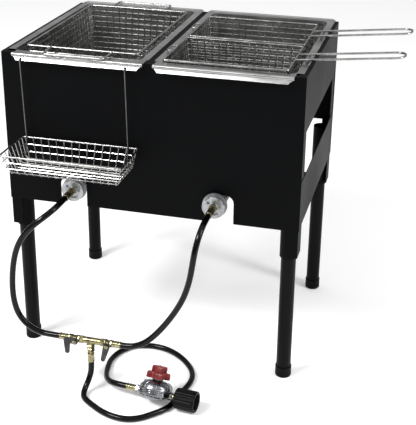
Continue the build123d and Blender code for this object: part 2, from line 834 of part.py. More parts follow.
with BuildPart() as bonnet:
    with BuildSketch(Plane(origin=centre, x_dir=inlet_way, z_dir=inlet_way.cross(knob_way))):
        with BuildLine():
            Polyline(
                (0, body_top),
                (regulator_radius, body_top),
                (regulator_radius, body_top + 5),
                (37, 10),
                (36, 17),
                (30, 24),
                (20, 27.5),
                (12, 28),
                (12, neck_top),
                (0, neck_top),
                close=True,
            )
        make_face()
    revolve(axis=Axis(centre, knob_way))
    # Room for the body's outlet and inlet bosses.
    for boss_low in (-regulator_radius - 1, boss_from - 0.5):
        with BuildSketch(along_inlet(boss_low)):
            Circle(outlet_hex + 0.2)
        extrude(amount=regulator_radius + 1.5 - boss_from, mode=Mode.SUBTRACT)
    with BuildSketch(up_knob(neck_top)):
        Circle(knob_stem_radius)
    extrude(amount=stem_top - neck_top)
save(bonnet, "regulator_bonnet")

with BuildPart() as knob:
    for low, high, reach in zip((knob_low, knob_step), (knob_step, knob_high), knob_reaches):
        with BuildSketch(up_knob(low)):
            for turn in (20, 110):
                Rectangle(2 * reach, reach * 0.8, rotation=turn)
            Circle(reach * 0.72)
        extrude(amount=high - low)
    with BuildSketch(up_knob(knob_low)):
        Circle(knob_stem_radius + stem_clearance)
    extrude(amount=knob_bore_top - knob_low, mode=Mode.SUBTRACT)
save(knob, "regulator_knob")

with BuildPart() as inlet:
    with BuildSketch(along_inlet(inlet_from)):
        Circle(inlet_radius)
    extrude(amount=inlet_to - inlet_from)
    with BuildSketch(along_inlet(inlet_to - 14)):
        Circle(inlet_collar_radius)
    extrude(amount=8)
save(inlet, "inlet_nipple")

with BuildPart() as tank_nut:
    with BuildSketch(along_inlet(nut_from)):
        Circle(nut_radius)
        with PolarLocations(nut_radius + 1.2, nut_flutes):
            Circle(2.6, mode=Mode.SUBTRACT)
    extrude(amount=nut_to - nut_from)
    with BuildSketch(along_inlet(nut_from)):
        Circle(inlet_radius + stem_clearance)
    extrude(amount=nut_floor, mode=Mode.SUBTRACT)
    with BuildSketch(along_inlet(nut_from + nut_floor)):
        Circle(nut_bore)
    extrude(amount=nut_to - nut_from - nut_floor, mode=Mode.SUBTRACT)
save(tank_nut, "tank_nut")

# ---- hoses ----
floor_z = hose / 2
routes = {
    "left_burner_hose": [
        (-177, -66, 431),
        (-177, -90, 431),
        (-182, -115, 426.5),
        (-197, -136, 415),
        (-220, -148, 397),
        (-244, -151, 370),
        (-262, -152, 335),
        (-272, -153, 290),
        (-277, -152, 242),
        (-276, -151, 200),
        (-266, -150, 165),
        (-243, -150, 140),
        (-214, -150, 129),
        (-191, -150, 128),
        (-168.5, -150, 128),
    ],
    "right_burner_hose": [
        (152, -66, 431),
        (152, -90, 431),
        (151, -114, 425),
        (148, -133, 409),
        (144, -145, 384),
        (140, -150, 350),
        (134, -151, 312),
        (122, -151, 272),
        (103, -150, 234),
        (80, -150, 198),
        (57, -150, 168),
        (36, -150, 146.5),
        (16, -150, 134),
        (-3, -150, 128),
        (-22.5, -150, 128),
    ],
    "supply_hose": [
        (-95.5, -150, 74),
        (-95.5, -150, 58),
        (-97, -153, 42),
        (-100, -159.5, 28),
        (-103, -169.5, 17),
        (-103.5, -181.5, 10),
        (-99.5, -194, floor_z),
        (-88, -206, floor_z),
        (-70, -218, floor_z),
        (-46, -233, floor_z),
        (-16, -245, floor_z),
        (18, -248, floor_z),
        (47.5, -236, floor_z),
        (70, -214, floor_z),
        (88, -195, floor_z),
        (100, -173, floor_z),
        (102.5, -150, floor_z),
        (106.5, -128, floor_z),
        (113, -104, floor_z),
        (119, -72, floor_z),
        (113, -37, floor_z),
        (88, -1, floor_z),
        (54, 28, floor_z),
        (16, 45, floor_z),
        (-26, 45.5, floor_z),
        (-60, 31, floor_z),
        (-83, -3, floor_z),
        (-90.5, -38, floor_z),
        (-87.5, -65, floor_z),
        (-82, -91, 7.5),
        (-73.5, -114, 11),
        (-61, -133.5, 16.5),
        (-46, -147, 22.5),
        (-28.5, -153.7, 26),
        (-9.65, -155.68, 26),
    ],
}


def hose_radii(points):
    """The largest arc at each corner that its two runs allow."""
    radii = []
    for before, corner, after in zip(points, points[1:], points[2:]):
        run_in = Vector(*corner) - Vector(*before)
        run_out = Vector(*after) - Vector(*corner)
        half_turn = math.radians(run_in.get_angle(run_out)) / 2
        radii.append(0.45 * min(run_in.length, run_out.length) / math.tan(half_turn))
    return radii


for name, points in routes.items():
    radii = hose_radii(points)
    with BuildPart() as tube:
        with BuildLine() as path:
            FilletPolyline(*[at(*point) for point in points], radius=radii)
        route = path.wires()[0]
        with BuildSketch(Plane(origin=route @ 0, z_dir=route % 0)):
            Circle(hose / 2)
        sweep(path=route)
    section = math.pi * (hose / 2) ** 2
    print(
        name,
        "length",
        round(route.length, 1),
        "tube / section x length",
        round(tube.part.volume / (section * route.length), 4),
        "radii",
        [round(radius) for radius in radii],
    )
    save(tube, name)
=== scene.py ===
"""Outdoor double-bay gas fryer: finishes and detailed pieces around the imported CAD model.

Sub-parts are laid out from the cabinet, in millimetres: x from its middle plane, y from the
front face of its front panel (the front faces -Y), z from the ground. at() turns that into
the row frame, in metres.
"""

import json
import math

import bmesh
import bpy
from mathutils import Matrix, Vector


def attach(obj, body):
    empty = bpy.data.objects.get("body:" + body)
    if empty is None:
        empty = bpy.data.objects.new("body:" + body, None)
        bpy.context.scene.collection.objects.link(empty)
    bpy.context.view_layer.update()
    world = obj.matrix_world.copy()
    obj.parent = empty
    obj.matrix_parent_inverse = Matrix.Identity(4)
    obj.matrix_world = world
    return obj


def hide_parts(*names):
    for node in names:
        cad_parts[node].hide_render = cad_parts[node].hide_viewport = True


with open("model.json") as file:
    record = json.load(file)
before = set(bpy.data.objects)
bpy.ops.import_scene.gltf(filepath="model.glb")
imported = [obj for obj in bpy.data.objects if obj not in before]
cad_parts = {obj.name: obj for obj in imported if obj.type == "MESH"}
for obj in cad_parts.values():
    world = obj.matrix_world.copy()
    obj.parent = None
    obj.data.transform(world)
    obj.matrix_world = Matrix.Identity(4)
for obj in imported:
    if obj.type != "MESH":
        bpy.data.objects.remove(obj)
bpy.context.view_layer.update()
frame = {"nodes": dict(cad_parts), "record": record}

CABINET_X = -95.0  # the cabinet's middle plane in the row frame, mm
FRONT_Y = -180.35  # the front face of its front panel
SLOT_OF = {part["node"]: part["material_slot"] for part in frame["record"]["subparts"]}


def at(x, y, z):
    """A point given from the cabinet in mm, in the row frame in metres."""
    return Vector(((x + CABINET_X) / 1000, (y + FRONT_Y) / 1000, z / 1000))


# ---- camera ----
YAW = math.radians(-14.34)
PITCH = math.radians(22.79)
ROLL = math.radians(0.74)
CAMERA_PLACE = (626.9, -1930.0, 1346.6)
LENS = 83.99
SENSOR = 36
SHIFT_UP = -0.1


def add_camera():
    """The camera stands to the right of the fryer, above it, and looks down and to the left."""
    forward = Vector((math.sin(YAW) * math.cos(PITCH), math.cos(YAW) * math.cos(PITCH), -math.sin(PITCH)))
    level_right = Vector((math.cos(YAW), -math.sin(YAW), 0))
    level_up = level_right.cross(forward)
    right = math.cos(ROLL) * level_right + math.sin(ROLL) * level_up
    up = -math.sin(ROLL) * level_right + math.cos(ROLL) * level_up
    data = bpy.data.cameras.new("camera")
    data.lens = LENS
    data.sensor_width = SENSOR
    data.shift_y = SHIFT_UP
    data.clip_end = 60
    camera = bpy.data.objects.new("camera", data)
    turn = Matrix((right, up, -forward)).transposed().to_4x4()
    camera.matrix_world = Matrix.Translation(at(*CAMERA_PLACE)) @ turn
    bpy.context.scene.collection.objects.link(camera)
    bpy.context.scene.camera = camera


add_camera()


# ---- finishes ----
def link(tree, source, target):
    tree.links.new(source, target)


def noise(tree, vector, scale, detail=3.0):
    node = tree.nodes.new("ShaderNodeTexNoise")
    node.inputs["Scale"].default_value = scale
    node.inputs["Detail"].default_value = detail
    link(tree, vector, node.inputs["Vector"])
    return node.outputs["Fac"]


def spread(tree, value, low, high, to_low, to_high):
    node = tree.nodes.new("ShaderNodeMapRange")
    node.inputs["From Min"].default_value = low
    node.inputs["From Max"].default_value = high
    node.inputs["To Min"].default_value = to_low
    node.inputs["To Max"].default_value = to_high
    link(tree, value, node.inputs["Value"])
    return node.outputs["Result"]


def mixed(tree, factor, first, second):
    """A colour mix; first and second are sockets or plain colours."""
    node = tree.nodes.new("ShaderNodeMix")
    node.data_type = "RGBA"
    link(tree, factor, node.inputs["Factor"])
    for value, socket in ((first, node.inputs[6]), (second, node.inputs[7])):
        if isinstance(value, bpy.types.NodeSocket):
            link(tree, value, socket)
        else:
            socket.default_value = (*value, 1)
    return node.outputs[2]


def arithmetic(tree, operation, first, second):
    node = tree.nodes.new("ShaderNodeMath")
    node.operation = operation
    for value, socket in ((first, node.inputs[0]), (second, node.inputs[1])):
        if isinstance(value, bpy.types.NodeSocket):
            link(tree, value, socket)
        else:
            socket.default_value = value
    return node.outputs[0]


def edge_mask(tree, reach):
    """1 along outer edges, 0 on flat faces."""
    rounded = tree.nodes.new("ShaderNodeBevel")
    rounded.samples = 4
    rounded.inputs["Radius"].default_value = reach
    geometry = tree.nodes.new("ShaderNodeNewGeometry")
    dot = tree.nodes.new("ShaderNodeVectorMath")
    dot.operation = "DOT_PRODUCT"
    link(tree, rounded.outputs["Normal"], dot.inputs[0])
    link(tree, geometry.outputs["Normal"], dot.inputs[1])
    return spread(tree, dot.outputs["Value"], 0.985, 0.90, 0.0, 1.0)


def finish(
    name,
    colour,
    roughness,
    metallic=0.0,
    grain=400.0,
    stretch=(1, 1, 1),
    bump=0.1,
    bump_depth=0.0002,
    patch=(8.0, 0.75),
    rough_range=0.12,
    wear=None,
    specular=0.5,
    coat=0.0,
    anisotropic=0.0,
):
    """A procedural finish. grain and stretch set the fine texture, patch is (scale of the broad
    patches, how much of its brightness a dark one keeps), wear is (edge reach in metres, edge
    colour)."""
    material = bpy.data.materials.new(name)
    material.use_nodes = True
    tree = material.node_tree
    shader = tree.nodes["Principled BSDF"]
    where = tree.nodes.new("ShaderNodeTexCoord").outputs["Object"]
    mapping = tree.nodes.new("ShaderNodeMapping")
    mapping.inputs["Scale"].default_value = stretch
    link(tree, where, mapping.inputs["Vector"])
    fine = noise(tree, mapping.outputs["Vector"], grain, 2.0)
    broad = noise(tree, where, patch[0], 5.0)
    darker = tuple(channel * patch[1] for channel in colour)
    patches = mixed(tree, spread(tree, broad, 0.35, 0.65, 0.0, 1.0), darker, colour)
    fine_dark = tuple(channel * (1 + patch[1]) / 2 for channel in darker)
    base = mixed(tree, spread(tree, fine, 0.3, 0.7, 0.35, 0.0), patches, fine_dark)
    half_range = rough_range / 2
    rough = spread(tree, fine, 0.3, 0.7, roughness - half_range, roughness + half_range)
    smear = spread(tree, broad, 0.3, 0.7, -half_range, half_range)
    rough = arithmetic(tree, "ADD", rough, smear)
    if wear:
        rub = noise(tree, where, 60.0, 4.0)
        mask = arithmetic(tree, "MULTIPLY", edge_mask(tree, wear[0]), spread(tree, rub, 0.45, 0.62, 0.0, 1.0))
        base = mixed(tree, mask, base, wear[1])
    link(tree, base, shader.inputs["Base Color"])
    link(tree, rough, shader.inputs["Roughness"])
    shader.inputs["Metallic"].default_value = metallic
    shader.inputs["Specular IOR Level"].default_value = specular
    shader.inputs["Coat Weight"].default_value = coat
    shader.inputs["Coat Roughness"].default_value = 0.2
    shader.inputs["Anisotropic"].default_value = anisotropic
    relief = tree.nodes.new("ShaderNodeBump")
    relief.inputs["Strength"].default_value = bump
    relief.inputs["Distance"].default_value = bump_depth
    link(tree, fine, relief.inputs["Height"])
    link(tree, relief.outputs["Normal"], shader.inputs["Normal"])
    return material


BARE_EDGE = (0.022, 0.022, 0.024)
finishes = {
    "black_powder_coat": finish(
        "black_powder_coat", (0.0012, 0.0014, 0.0018), 0.50, grain=900, bump=0.25,
        patch=(3.0, 0.8), wear=(0.0012, BARE_EDGE), specular=0.055,
    ),
    "leg_black": finish(
        "leg_black", (0.0013, 0.0015, 0.0018), 0.38, grain=700, bump=0.15,
        patch=(14.0, 0.75), wear=(0.0012, BARE_EDGE), specular=0.09,
    ),
    "foot_rubber": finish(
        "foot_rubber", (0.0014, 0.0015, 0.0017), 0.62, grain=500, bump=0.3,
        patch=(40.0, 0.7), specular=0.1,
    ),
    "fastener": finish(
        "fastener", (0.010, 0.010, 0.011), 0.4, metallic=0.3, grain=800, bump=0.2,
        patch=(60.0, 0.6), wear=(0.0006, (0.06, 0.06, 0.06)),
    ),
    "cast_iron": finish(
        "cast_iron", (0.34, 0.345, 0.35), 0.5, metallic=0.85, grain=420, bump=0.8,
        bump_depth=0.0006, patch=(45.0, 0.55), rough_range=0.2, wear=(0.001, (0.6, 0.6, 0.6)),
    ),
    "shutter_steel": finish(
        "shutter_steel", (0.46, 0.47, 0.49), 0.34, metallic=1.0, grain=500, bump=0.3,
        patch=(70.0, 0.6), rough_range=0.2, wear=(0.0008, (0.8, 0.8, 0.8)),
    ),
    "brass": finish(
        "brass", (0.40, 0.35, 0.185), 0.22, metallic=1.0, grain=350, bump=0.15,
        patch=(80.0, 0.35), rough_range=0.16, wear=(0.0006, (0.72, 0.66, 0.44)),
    ),
    "valve_nickel": finish(
        "valve_nickel", (0.34, 0.30, 0.19), 0.24, metallic=1.0, grain=350, bump=0.15,
        patch=(80.0, 0.35), rough_range=0.16, wear=(0.0006, (0.8, 0.76, 0.6)),
    ),
    "lever_grey": finish(
        "lever_grey", (0.020, 0.020, 0.021), 0.34, metallic=0.3, grain=600, bump=0.5,
        patch=(90.0, 0.5), rough_range=0.2, wear=(0.0008, (0.22, 0.22, 0.23)),
    ),
    "ferrule_steel": finish(
        "ferrule_steel", (0.50, 0.46, 0.27), 0.2, metallic=1.0, grain=300, bump=0.15,
        patch=(80.0, 0.45), rough_range=0.14, wear=(0.0005, (0.85, 0.8, 0.6)),
    ),
    "hose_rubber": finish(
        "hose_rubber", (0.0010, 0.0011, 0.0013), 0.15, grain=260, bump=0.05,
        patch=(25.0, 0.7), rough_range=0.08, specular=0.20,
    ),
    "diecast_zinc": finish(
        "diecast_zinc", (0.36, 0.37, 0.39), 0.24, metallic=1.0, grain=450, bump=0.4,
        patch=(55.0, 0.4), rough_range=0.22, wear=(0.001, (0.85, 0.85, 0.87)),
    ),
    "knob_red": finish(
        "knob_red", (0.20, 0.014, 0.015), 0.24, grain=500, bump=0.15,
        patch=(60.0, 0.7), rough_range=0.14, wear=(0.0008, (0.45, 0.10, 0.09)),
    ),
    "nut_plastic": finish(
        "nut_plastic", (0.0016, 0.0016, 0.0019), 0.46, grain=500, bump=0.35,
        patch=(50.0, 0.7), wear=(0.001, (0.012, 0.012, 0.012)), specular=0.12,
    ),
    "stainless_pan": finish(
        "stainless_pan", (0.46, 0.46, 0.455), 0.30, metallic=1.0, grain=220, stretch=(0.05, 1, 1),
        bump=0.25, bump_depth=0.0001, patch=(6.0, 0.72), rough_range=0.16,
        wear=(0.0012, (0.8, 0.8, 0.8)), anisotropic=0.4,
    ),
    "bright_wire": finish(
        "bright_wire", (0.46, 0.455, 0.445), 0.24, metallic=1.0, grain=500, bump=0.1,
        patch=(35.0, 0.6), rough_range=0.16,
    ),
    # dull_wire is the plated wire painted dark grey: painted shade standing in for the black cabinet that the
    # hanger rods reflect
    "dull_wire": finish(
        "dull_wire", (0.16, 0.16, 0.155), 0.36, metallic=1.0, grain=500, bump=0.15,
        patch=(30.0, 0.55), rough_range=0.16, wear=(0.0004, (0.4, 0.4, 0.39)),
    ),
}
for node_name, cad_object in frame["nodes"].items():
    cad_object.data.materials.clear()
    cad_object.data.materials.append(finishes[SLOT_OF[node_name]])


SHARP = math.radians(40)


def shade(mesh, material):
    """One finish, and smooth shading that keeps the edges that are sharper than SHARP."""
    mesh.materials.append(material)
    for face in mesh.polygons:
        face.use_smooth = True
    mesh.set_sharp_from_angle(angle=SHARP)


def piece(name, bm, body, slot_name, replaced=()):
    """A finished mesh piece that rides on a body and may stand for CAD nodes."""
    bmesh.ops.recalc_face_normals(bm, faces=bm.faces)
    mesh = bpy.data.meshes.new(name)
    bm.to_mesh(mesh)
    bm.free()
    shade(mesh, finishes[slot_name])
    made = bpy.data.objects.new(name, mesh)
    bpy.context.scene.collection.objects.link(made)
    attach(made, body)
    if replaced:
        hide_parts(*replaced)
    return made


# ---- hoses ----
HOSE = 13.5  # outer diameter
FLOOR_Z = HOSE / 2  # a hose's centreline where it lies on the ground
ROUTES = {
    "left_burner_hose": [
        (-177, -66, 431), (-177, -90, 431), (-182, -115, 426.5), (-197, -136, 415),
        (-220, -148, 397), (-244, -151, 370), (-262, -152, 335), (-272, -153, 290),
        (-277, -152, 242), (-276, -151, 200), (-266, -150, 165), (-243, -150, 140),
        (-214, -150, 129), (-191, -150, 128), (-168.5, -150, 128),
    ],
    "right_burner_hose": [
        (152, -66, 431), (152, -90, 431), (151, -114, 425), (148, -133, 409),
        (144, -145, 384), (140, -150, 350), (134, -151, 312), (122, -151, 272),
        (103, -150, 234), (80, -150, 198), (57, -150, 168), (36, -150, 146.5),
        (16, -150, 134), (-3, -150, 128), (-22.5, -150, 128),
    ],
    "supply_hose": [
        (-95.5, -150, 74), (-95.5, -150, 58), (-97, -153, 42), (-100, -159.5, 28),
        (-103, -169.5, 17), (-103.5, -181.5, 10), (-99.5, -194, FLOOR_Z), (-88, -206, FLOOR_Z),
        (-70, -218, FLOOR_Z), (-46, -233, FLOOR_Z), (-16, -245, FLOOR_Z), (18, -248, FLOOR_Z),
        (47.5, -236, FLOOR_Z), (70, -214, FLOOR_Z), (88, -195, FLOOR_Z), (100, -173, FLOOR_Z),
        (102.5, -150, FLOOR_Z), (106.5, -128, FLOOR_Z), (113, -104, FLOOR_Z), (119, -72, FLOOR_Z),
        (113, -37, FLOOR_Z), (88, -1, FLOOR_Z), (54, 28, FLOOR_Z), (16, 45, FLOOR_Z),
        (-26, 45.5, FLOOR_Z), (-60, 31, FLOOR_Z), (-83, -3, FLOOR_Z), (-90.5, -38, FLOOR_Z),
        (-87.5, -65, FLOOR_Z), (-82, -91, 7.5), (-73.5, -114, 11), (-61, -133.5, 16.5),
        (-46, -147, 22.5), (-28.5, -153.7, 26), (-9.65, -155.68, 26),
    ],
}


def hose_line(node):
    """The hose as one smooth curve through its route, standing for the CAD tube."""
    curve = bpy.data.curves.new(node + "_line", "CURVE")
    curve.dimensions = "3D"
    curve.bevel_depth = HOSE / 2000
    curve.bevel_resolution = 6
    curve.use_fill_caps = True
    curve.resolution_u = 12
    spline = curve.splines.new("NURBS")
    route = ROUTES[node]
    spline.points.add(len(route) - 1)
    for point, place in zip(spline.points, route):
        point.co = (*at(*place), 1)
    spline.order_u = 3
    spline.use_endpoint_u = True
    curve.materials.append(finishes["hose_rubber"])
    made = bpy.data.objects.new(node + "_line", curve)
    bpy.context.scene.collection.objects.link(made)
    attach(made, "stand")
    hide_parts(node)
    return made


hoses = {node: hose_line(node) for node in ROUTES}


# ---- mesh helpers, all in cabinet millimetres ----
def bent(points, radius, steps=5):
    """A wire's corner points with each inner corner rounded to a radius."""
    points = [Vector(point) for point in points]
    line = [points[0]]
    for before, corner, after in zip(points, points[1:], points[2:]):
        to_before = (before - corner).normalized()
        to_after = (after - corner).normalized()
        half = to_before.angle(to_after) / 2
        back = min(radius / math.tan(half), 0.49 * min((before - corner).length, (after - corner).length))
        start = corner + to_before * back
        end = corner + to_after * back
        for step in range(steps + 1):
            share = step / steps
            line.append((1 - share) ** 2 * start + 2 * share * (1 - share) * corner + share**2 * end)
    line.append(points[-1])
    return line


def rounded_loop(low_x, low_y, high_x, high_y, corner, z, steps=4):
    """A closed rounded rectangle at one height."""
    line = []
    centres = (
        (high_x - corner, high_y - corner, 0),
        (low_x + corner, high_y - corner, 90),
        (low_x + corner, low_y + corner, 180),
        (high_x - corner, low_y + corner, 270),
    )
    for centre_x, centre_y, first in centres:
        for step in range(steps + 1):
            turn = math.radians(first + 90 * step / steps)
            line.append(Vector((centre_x + corner * math.cos(turn), centre_y + corner * math.sin(turn), z)))
    return line


def add_wire(bm, line, radius, closed=False, sides=8):
    """Round wire along a line of points."""
    count = len(line)
    rings = []
    across = None
    for i, point in enumerate(line):
        before = line[i - 1] if i or closed else point
        after = line[(i + 1) % count] if i + 1 < count or closed else point
        ahead = (after - before).normalized()
        across = ahead.orthogonal() if across is None else across - ahead * across.dot(ahead)
        across.normalize()
        beside = ahead.cross(across)
        ring = []
        for k in range(sides):
            turn = 2 * math.pi * k / sides
            offset = radius * (math.cos(turn) * across + math.sin(turn) * beside)
            ring.append(bm.verts.new(at(*(point + offset))))
        rings.append(ring)
    pairs = list(zip(rings, rings[1:]))
    if closed:
        pairs.append((rings[-1], rings[0]))
    for first, second in pairs:
        for k in range(sides):
            following = (k + 1) % sides
            bm.faces.new((first[k], first[following], second[following], second[k]))
    if not closed:
        bm.faces.new(rings[0][::-1])
        bm.faces.new(rings[-1])


def add_turned(bm, origin, axis, profile, sides=40, shape=None, across=None, hollow=False):
    """A turned form: profile is (distance along the axis, radius) pairs. shape(turn, i) scales
    the radius of pair i at an angle, for lobes and flutes. A hollow form's profile closes on
    itself instead of ending in flat caps."""
    axis = Vector(axis).normalized()
    across = Vector(across) if across else axis.orthogonal().normalized()
    beside = axis.cross(across)
    origin = Vector(origin)
    rings = []
    for i, (along, radius) in enumerate(profile):
        ring = []
        for k in range(sides):
            turn = 2 * math.pi * k / sides
            size = radius * (shape(turn, i) if shape else 1)
            offset = size * (math.cos(turn) * across + math.sin(turn) * beside)
            ring.append(bm.verts.new(at(*(origin + along * axis + offset))))
        rings.append(ring)
    pairs = list(zip(rings, rings[1:]))
    if hollow:
        pairs.append((rings[-1], rings[0]))
    for first, second in pairs:
        for k in range(sides):
            following = (k + 1) % sides
            bm.faces.new((first[k], first[following], second[following], second[k]))
    if not hollow:
        bm.faces.new(rings[0][::-1])
        bm.faces.new(rings[-1])


def add_plate(bm, place, outline, low, high, holes=(), chamfer=0.25):
    """A flat plate: outline and holes are (u, v) loops, low and high its two faces along w, and
    place(u, v, w) says where that is. Its outer edges carry a small chamfer."""
    loops = []
    edges = []
    for points in (outline, *holes):
        loop = [bm.verts.new(at(*place(u, v, low))) for u, v in points]
        loops.append(loop)
        for first, second in zip(loop, loop[1:] + loop[:1]):
            edges.append(bm.edges.new((first, second)))
    made = bmesh.ops.triangle_fill(bm, use_beauty=True, edges=edges)
    under = [item for item in made["geom"] if isinstance(item, bmesh.types.BMFace)]
    lifted = bmesh.ops.extrude_face_region(bm, geom=under, use_keep_orig=True)
    moved = [item for item in lifted["geom"] if isinstance(item, bmesh.types.BMVert)]
    top = [item for item in lifted["geom"] if isinstance(item, bmesh.types.BMFace)]
    rise = at(*place(0, 0, high)) - at(*place(0, 0, low))
    bmesh.ops.translate(bm, verts=moved, vec=rise)
    top_faces = set(top)
    rim = [
        edge
        for face in top
        for edge in face.edges
        if any(other not in top_faces for other in edge.link_faces)
    ]
    edges_once = list(dict.fromkeys(rim))
    bmesh.ops.bevel(bm, geom=edges_once, offset=chamfer / 1000, segments=2, profile=0.6, affect="EDGES")


def arc(centre_u, centre_v, radius, start, end, steps=8):
    """Points along an arc, angles in degrees."""
    points = []
    for step in range(steps + 1):
        turn = math.radians(start + (end - start) * step / steps)
        points.append((centre_u + radius * math.cos(turn), centre_v + radius * math.sin(turn)))
    return points


def circle(centre_u, centre_v, radius, steps=32):
    return arc(centre_u, centre_v, radius, 0, 360, steps)[:-1]


def kidney(ring, half_width, start, end):
    """A curved slot with round ends around the plate's middle."""
    points = arc(0, 0, ring + half_width, start, end, 10)
    for turn, first in ((end, end), (start, start + 180)):
        middle = math.radians(turn)
        cap = arc(ring * math.cos(middle), ring * math.sin(middle), half_width, first, first + 180, 6)
        points += cap[1:-1]
        if turn == end:
            points += arc(0, 0, ring - half_width, end, start, 10)
    return points


def rounded_box(low_u, low_v, high_u, high_v, corner):
    points = []
    for centre_u, centre_v, first in (
        (high_u - corner, high_v - corner, 0),
        (low_u + corner, high_v - corner, 90),
        (low_u + corner, low_v + corner, 180),
        (high_u - corner, low_v + corner, 270),
    ):
        points += arc(centre_u, centre_v, corner, first, first + 90, 5)
    return points


def hexagon(radius, low, high, chamfer=0.8):
    """Profile of a hexagon bar with chamfered ends; radius is over its corners."""
    end = 0.9 * radius
    return [(low, end), (low + chamfer, radius), (high - chamfer, radius), (high, end)]


# ---- wire baskets ----
RIM_Z = 745.0
BASKET_CORNER = 6
LYING_ACROSS = 1.9  # from the level rings in to the uprights, in wire radii


def wire_basket(bm, box, rim_z, height, insets, wire, pitch, row, bend):
    """Crossed wires under a rim: box is the rim's (x, y, x, y), insets how far the left, front,
    right and back walls lean in over the height. The level rings lie outside the upright wires."""
    low_x, low_y, high_x, high_y = box
    left, front, right, back = insets
    corner = BASKET_CORNER
    rows = round(height / row)
    for k in range(1, rows):
        share = k / rows
        loop = rounded_loop(
            low_x + left * share,
            low_y + front * share,
            high_x - right * share,
            high_y - back * share,
            corner,
            rim_z - height * share,
        )
        add_wire(bm, loop, wire, closed=True, sides=6)
    inside = LYING_ACROSS * wire
    inner_low = (low_x + inside, low_y + inside)
    inner_high = (high_x - inside, high_y - inside)
    floor_low = (low_x + left + inside, low_y + front + inside)
    floor_high = (high_x - right - inside, high_y - back - inside)
    floor_z = rim_z - height + wire
    for across in (0, 1):
        low, high = inner_low[across], inner_high[across]
        count = round((high - low - 2 * corner) / pitch)
        for k in range(count + 1):
            share = (corner + (high - low - 2 * corner) * k / count) / (high - low)
            rim_at = low + share * (high - low)
            floor_at = floor_low[across] + share * (floor_high[across] - floor_low[across])
            if across:
                corners = [
                    (inner_low[0], rim_at, rim_z),
                    (floor_low[0], floor_at, floor_z + inside),
                    (floor_high[0], floor_at, floor_z + inside),
                    (inner_high[0], rim_at, rim_z),
                ]
            else:
                corners = [
                    (rim_at, inner_low[1], rim_z),
                    (floor_at, floor_low[1], floor_z),
                    (floor_at, floor_high[1], floor_z),
                    (rim_at, inner_high[1], rim_z),
                ]
            add_wire(bm, bent(corners, bend), wire, sides=6)


BASKETS = (
    ("large_basket", (-294, 38, -36, 434), 146),
    ("front_basket", (28, 15, 298, 203), 128),
    ("rear_basket", (28, 218, 298, 406), 128),
)
LEAN = (14, 14, 14, 14)
MESH = {"wire": 1.1, "pitch": 17, "row": 13, "bend": 9}
TRAY_BOX = (-297, -132, -22, -9)
TRAY_LEAN = (10, 19, 10, 5)
TRAY_RIM_Z = 545
TRAY_HEIGHT = 50
TRAY_MESH = {"wire": 1.15, "pitch": 19, "row": 16.7, "bend": 12}


def add_baskets():
    for node, box, height in BASKETS:
        bm = bmesh.new()
        wire_basket(bm, box, RIM_Z, height, LEAN, **MESH)
        piece(node + "_wires", bm, node, "bright_wire", (node,))
    bm = bmesh.new()
    wire_basket(bm, TRAY_BOX, TRAY_RIM_Z, TRAY_HEIGHT, TRAY_LEAN, **TRAY_MESH)
    piece("utility_basket_wires", bm, "utility_basket", "bright_wire", ("utility_basket",))


add_baskets()


# ---- burner fronts ----
BURNER_XS = {"left": -177, "right": 152}
BURNER_Z = 431
DRUM_FRONT = -20
HUB_FRONT = -23
FITTING_END = -66
SHUTTER_RADIUS = 26
SHUTTER_BACK = 0.3  # in front of the drum
SHUTTER_FACE = 2.3


def crimped(start, end, radius, grooves):
    """A hose ferrule's profile: a sleeve pressed in by rings of grooves, with rolled ends."""
    rolled = radius * 0.86
    pressed = radius * 0.9
    profile = [(start, rolled), (start + 0.8, radius)]
    pitch = (end - start - 4) / grooves
    for k in range(grooves):
        low = start + 2 + pitch * k
        profile += [
            (low, radius),
            (low + 0.22 * pitch, pressed),
            (low + 0.62 * pitch, pressed),
            (low + 0.84 * pitch, radius),
        ]
    return profile + [(end - 0.8, radius), (end, rolled)]


def add_shutter(side):
    """A pressed disc with raised rings, air slots, a finger tab and a small wing screw."""

    def place(u, v, w):
        return BURNER_XS[side] + u, DRUM_FRONT - w, BURNER_Z + v

    bm = bmesh.new()
    holes = [
        circle(0, 0, 7.1, 28),
        kidney(15, 3.6, 12, 72),
        circle(-11.3, 10.6, 3.4, 20),
        kidney(15, 3.0, 238, 304),
    ]
    add_plate(bm, place, circle(0, 0, SHUTTER_RADIUS, 56), SHUTTER_BACK, SHUTTER_FACE - 0.5, holes)
    front = place(0, 0, SHUTTER_FACE - 0.8)
    for ring, half in ((24.4, 1.5), (8.9, 1.2)):
        slope = 0.7 * half
        section = [(0, ring - half), (0.9, ring - slope), (1.15, ring), (0.9, ring + slope), (0, ring + half)]
        add_turned(bm, front, (0, -1, 0), section, sides=56, hollow=True)
    tab_turn = math.radians(128)
    tab_reach = 23.0
    ahead = (math.cos(tab_turn), math.sin(tab_turn))

    def tab_place(u, v, w):
        reach = tab_reach + w
        return place(reach * ahead[0] - u * ahead[1], reach * ahead[1] + u * ahead[0], v)

    add_plate(bm, tab_place, rounded_box(-5.5, SHUTTER_BACK + 1, 5.5, 9, 1.6), 0.0, 1.4)
    piece(side + "_shutter_disc", bm, side + "_air_shutter", "shutter_steel", (side + "_air_shutter",))

    bm = bmesh.new()
    screw_u, screw_v = -12.5, -13.5
    screw = place(screw_u, screw_v, SHUTTER_FACE - 1)
    add_turned(bm, screw, (0, -1, 0), [(0, 2.4), (3.6, 2.4), (4.4, 1.9)], sides=20)

    def wing_place(u, v, w):
        """The wing stands upright on its screw, turned 60 degrees."""
        along = screw_u + u * 0.5 - w * 0.87
        return place(along, screw_v + u * 0.87 + w * 0.5, SHUTTER_FACE + 2.4 + v)

    half_wing = [(1.6, -1), (3.6, 1.2), (5.6, 4.2), (4.2, 5), (1.6, 2.4)]
    wing = half_wing + [(-u, v) for u, v in reversed(half_wing)]
    add_plate(bm, wing_place, wing, -0.7, 0.7, chamfer=0.2)
    piece(side + "_wing_screw", bm, side + "_air_shutter", "fastener")


